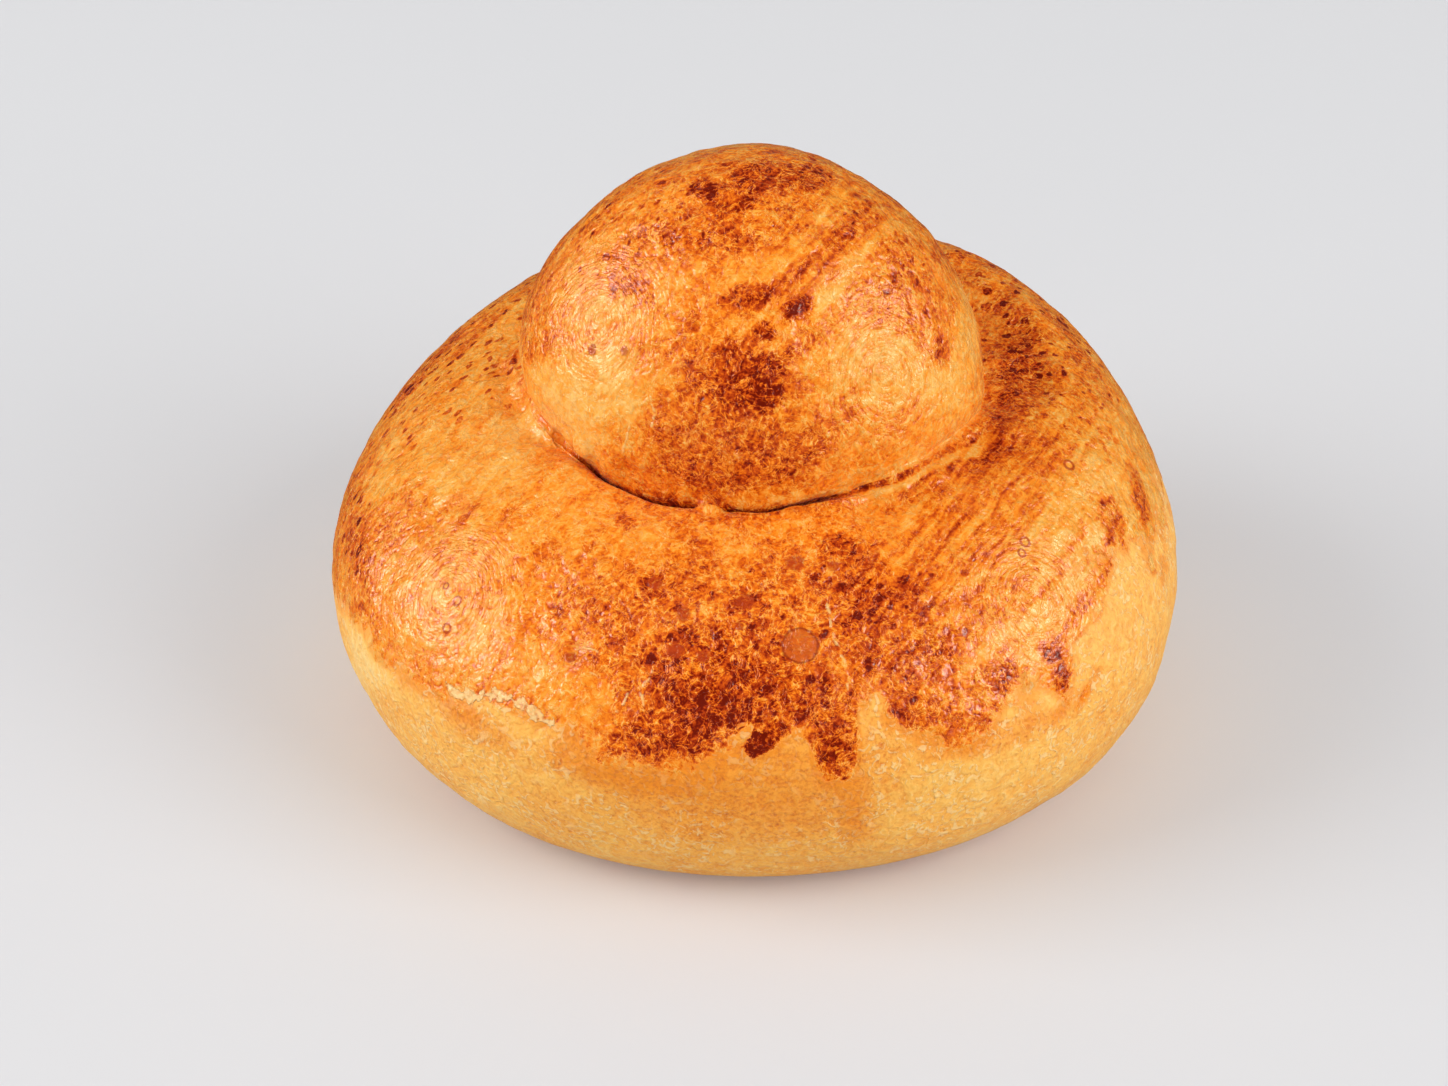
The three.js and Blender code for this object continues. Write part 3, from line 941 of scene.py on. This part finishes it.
def washed_skin(g, brown_light_and_shade, skin):
    """The colour and the height in mm of the egg-washed skin: threads and grains round small dark pits, streaks and
    lines along the brush, ripples and specks."""
    pits = g.noise(PIT_SIZE, detail=4, roughness=0.65, distortion=0.6)
    wrinkles = g.noise(PIT_SIZE, detail=1, roughness=0.5, distortion=0.6)
    grain = g.noise(GRAIN_SIZE, roughness=0.6)
    fine_threads = threads(g, 1.5, 0.035)
    broad_threads = threads(g, 3.2, 0.022)
    mottle = g.noise(MOTTLE_SIZE, detail=4, roughness=0.6, distortion=0.3)
    swells = g.noise(MOTTLE_SIZE, detail=1, roughness=0.6, distortion=0.3)
    streaks = g.noise(1.5, detail=3, roughness=0.6, where=g.drawn_out(g.where, BRUSH, STREAK_STRETCH))

    along_brush = g.drawn_out(g.bent(4, 1.2), BRUSH, BRUSH_LINE_STRETCH)
    brush_lines = g.noise(0.8, detail=3, roughness=0.6, where=g.drawn_out(along_brush, VIEW_BACK, BRUSH_LINE_STRETCH))
    brush = g.attribute("brushed")

    from_middle = g.nearest([(middle, 1) for middle in skin.at_pixels(RIPPLE_MIDDLES)])
    taut = g.fade(from_middle, RIPPLES_FULL_TO, RIPPLES_END)
    outwards = g.scaled((0, 0, MM), from_middle)
    round_middle = g.vector("ADD", g.scaled(g.bent(2, 0.8), RIPPLE_WIDTH), outwards)
    ripples = g.noise(GRAIN_SIZE, roughness=0.5, distortion=0.4, where=round_middle)

    bent = g.drawn_out(g.bent(1.5, 1.2), SPECK_WAY, 1.5)
    speck_size = g.sum(g.times(g.cells(SPECK_SPACING, bent, output="Color"), 0.26), 0.04)
    specks = g.fade(g.math("SUBTRACT", g.cells(SPECK_SPACING, bent), speck_size), 0.02, 0.12)
    contrast = g.spread(brown_light_and_shade, 0.10, 0.65, 0.60, 1.15)
    texture = g.sum(
        g.about_zero(pits, -1.15),
        g.about_zero(grain, -0.75),
        g.about_zero(fine_threads, -0.30, 0.3),
        g.about_zero(broad_threads, -0.24, 0.2),
    )
    tone = g.sum(
        brown_light_and_shade,
        g.times(texture, g.times(contrast, g.spread(brush, 0.3, 1.0, 1, 0.65))),
        g.times(g.about_zero(brush_lines, 1.25), brush),
        g.times(g.about_zero(ripples, -0.75), taut),
        g.about_zero(mottle, 0.35),
        g.about_zero(streaks, 0.38),
        g.times(g.times(specks, g.attribute("specks")), 0.50),
    )
    height = g.sum(
        g.times(g.about_zero(wrinkles, 0.34), g.spread(taut, 0, 1, 1, 0.7)),
        g.times(g.about_zero(ripples, 0.26), taut),
        g.about_zero(grain, 0.04),
        g.about_zero(fine_threads, 0.04),
        g.about_zero(swells, 0.46),
    )
    return g.colour(tone, WASHED_COLOURS), height


def bare_skin(g, cover):
    """The colour and the height in mm of the bare dough: a matt grain with small pores and paler flecks."""
    bare = g.attribute("bare")
    grain = g.noise(GRAIN_SIZE, detail=3, roughness=0.65)
    lumps = g.noise(LUMP_SIZE, detail=4, roughness=0.7, distortion=0.8)
    swells = g.noise(LUMP_SIZE, detail=1, roughness=0.7, distortion=0.8)
    pores = g.fade(g.cells(0.95, g.bent(0.9, 0.9)), 0.14, 0.30)
    curls = g.spread(g.noise(1.25, distortion=1.6), 0.54, 0.62)
    curls = g.times(curls, g.spread(g.noise(6), 0.38, 0.54, 0.25, 1))
    tone = g.sum(g.times(bare, 0.9), g.spread(cover, 0.10, 0.44, 0, 0.45), g.about_zero(lumps, -0.9))
    height = g.sum(
        g.about_zero(grain, 0.06),
        g.about_zero(swells, 0.34),
        g.times(pores, -0.05),
        g.times(curls, 0.06),
    )
    shade = g.sum(g.about_zero(grain, 3.4, 0.45), g.about_zero(lumps, -1.6), g.times(pores, 0.35))
    grainy = g.spread(bare, 0.25, 0.85, 0.22, 0.95)
    colour = g.mix(g.math("MULTIPLY", shade, grainy, clamp=True), g.colour(tone, BARE_COLOURS), solid(PORE_COLOUR))
    pale = g.times(curls, g.spread(bare, 0.55, 1.0, 0.55, 0.15))
    return g.mix(pale, colour, solid(FLECK_COLOUR)), height


def add_bubbles(g, skin, colour):
    """A colour with the bubbles, the rings and the blisters painted over it, and their height in mm."""
    bubble, ring, blister = (
        g.nearest([(skin.at_pixel(x, y), radius * PIXEL_MM) for x, y, radius in spots])
        for spots in (BUBBLES, SMALL_RINGS, BLISTERS)
    )
    inside = g.fade(g.sum(bubble, g.about_zero(g.noise(0.8), 0.9)), 0.7, 1.15)
    ring = g.hump(ring, 0.45, 0.75, 0.95, 1.25)
    blister = g.sum(blister, g.about_zero(g.noise(0.9), 0.25))
    rim = g.hump(blister, 0.84, 0.96, 0.98, 1.10)
    raised = g.fade(blister, 0.85, 1.05)
    blotchy = g.spread(g.noise(0.7, detail=3), 0.35, 0.65, 0.55, 0.95)
    for share, over in (
        (g.times(inside, blotchy), BUBBLE_COLOUR),
        (g.times(ring, 0.85), BUBBLE_COLOUR),
        (g.times(raised, blotchy), BLISTER_COLOUR),
        (g.times(rim, 0.75), RIM_COLOUR),
    ):
        colour = g.mix(share, colour, solid(over))
    return colour, g.sum(g.times(inside, 0.06), g.times(ring, 0.02), g.times(raised, 0.05))


def add_folds(g, skin, colour):
    """The same for the thin pale folds."""
    bent = g.bent(1.4, 0.9)
    away = g.least([g.line_distance(skin.at_pixels(line), bent) for line in FOLDS])
    fold = g.times(g.fade(away, 0.05, 0.26), g.spread(g.noise(1.2), 0.40, 0.55))
    return g.mix(g.times(fold, 0.75), colour, solid(FOLD_COLOUR)), g.times(fold, 0.10)


def add_flake(g, skin, colour):
    """The same for the lifted flake."""
    away = g.line_distance(skin.at_pixels(FLAKE), g.bent(1.4, 1.6))
    width = g.spread(g.noise(1.6, detail=3), 0.40, 0.62, 0.0, 0.75)
    flake = g.fade(g.math("SUBTRACT", away, width), 0.0, 0.25)
    shade = g.spread(g.noise(0.5, detail=3), 0.35, 0.60, 0.45, 0.90)
    return g.mix(g.times(flake, shade), colour, solid(FLAKE_COLOUR)), g.times(flake, 0.15)


def add_crack(g, skin, colour):
    """The colour with the crack painted over it, which has no height."""
    away = g.line_distance(skin.at_pixels(CRACK), g.bent(2.2, 2.4))
    crack = g.times(g.fade(away, 0.12, 0.40), g.spread(g.noise(2.6), 0.40, 0.50))
    return g.mix(g.times(crack, 0.9), colour, solid(CRACK_COLOUR))


def crust_material(skin):
    """The crust: the bare dough, the egg-washed skin over it, and the marks in that skin."""
    material = bpy.data.materials.new("crust")
    g = Graph(material)
    cover = g.attribute("wash")
    coarse, broad = g.noise(1.7, detail=6, roughness=0.7, distortion=0.5), g.noise(4.5)
    depth = g.sum(cover, g.sum(g.about_zero(coarse, 1.5), g.about_zero(broad, 0.4)))
    washed = g.spread(depth, 0.36, 0.56)
    browned = g.spread(depth, 0.46, 0.68)
    thick = g.spread(depth, 0.25, 0.75)

    # This holds the browning, with painted light and painted shade in it.
    brown_light_and_shade = g.sum(g.times(g.sum(g.attribute("brown_light_and_shade"), -EDGE_BROWNING), browned), EDGE_BROWNING)
    brown_light_and_shade = g.math("MINIMUM", g.sum(brown_light_and_shade, -LIGHTENING), MOST_BROWN)
    washed_colour, washed_height = washed_skin(g, brown_light_and_shade, skin)
    bare_colour, bare_height = bare_skin(g, cover)
    washed_share = g.times(thick, g.spread(brown_light_and_shade, 0.50, 0.85, 1, 0.6))

    colour = g.mix(washed, bare_colour, washed_colour)
    heights = [g.times(washed_height, washed_share), g.times(bare_height, g.math("SUBTRACT", 1.0, thick))]
    for add_marks in (add_bubbles, add_folds, add_flake):
        colour, height = add_marks(g, skin, colour)
        heights.append(height)
    g.feed(g.surface.inputs["Base Color"], add_crack(g, skin, colour))

    shine = g.sum(g.about_zero(g.noise(0.6), 0.20), g.about_zero(g.noise(6), 0.25))
    softer = g.spread(brown_light_and_shade, 0.35, 0.65, 0.03, 0)
    roughness = g.sum(g.times(washed, -WASH_SMOOTHS), BARE_ROUGHNESS, shine, softer)
    g.feed(g.surface.inputs["Roughness"], roughness)
    g.surface.inputs["IOR"].default_value = 1.45
    g.surface.inputs["Specular IOR Level"].default_value = 0.35
    g.surface.inputs["Sheen Weight"].default_value = 0.07
    g.surface.inputs["Sheen Roughness"].default_value = 0.35
    g.surface.inputs["Sheen Tint"].default_value = (1, 0.97, 0.95, 1)

    bump = g.node("ShaderNodeBump", {"Height": g.sum(*heights), "Distance": MM, "Strength": 1.0})
    g.feed(g.surface.inputs["Normal"], bump.outputs["Normal"])
    return material


# ---------------- making the brioche


def add_brioche():
    """The one piece: the skin, shaped, painted and dressed."""
    piece = skin_object()
    skin = Skin(piece.data)
    dip_at_crease(skin)
    pinch_crease(skin)
    bend_crease(skin)
    add_relief(skin)
    fields = {"brown_light_and_shade": paint_browning_light_and_shade, "wash": wash_cover, "bare": bare_depth, "specks": speckled, "brushed": brushed}
    for name, field in fields.items():
        write(skin.mesh, name, field(skin))
    piece.data.materials.clear()
    piece.data.materials.append(crust_material(skin))
    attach(piece, "root")
    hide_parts("brioche")


add_camera()
add_studio()
add_brioche()
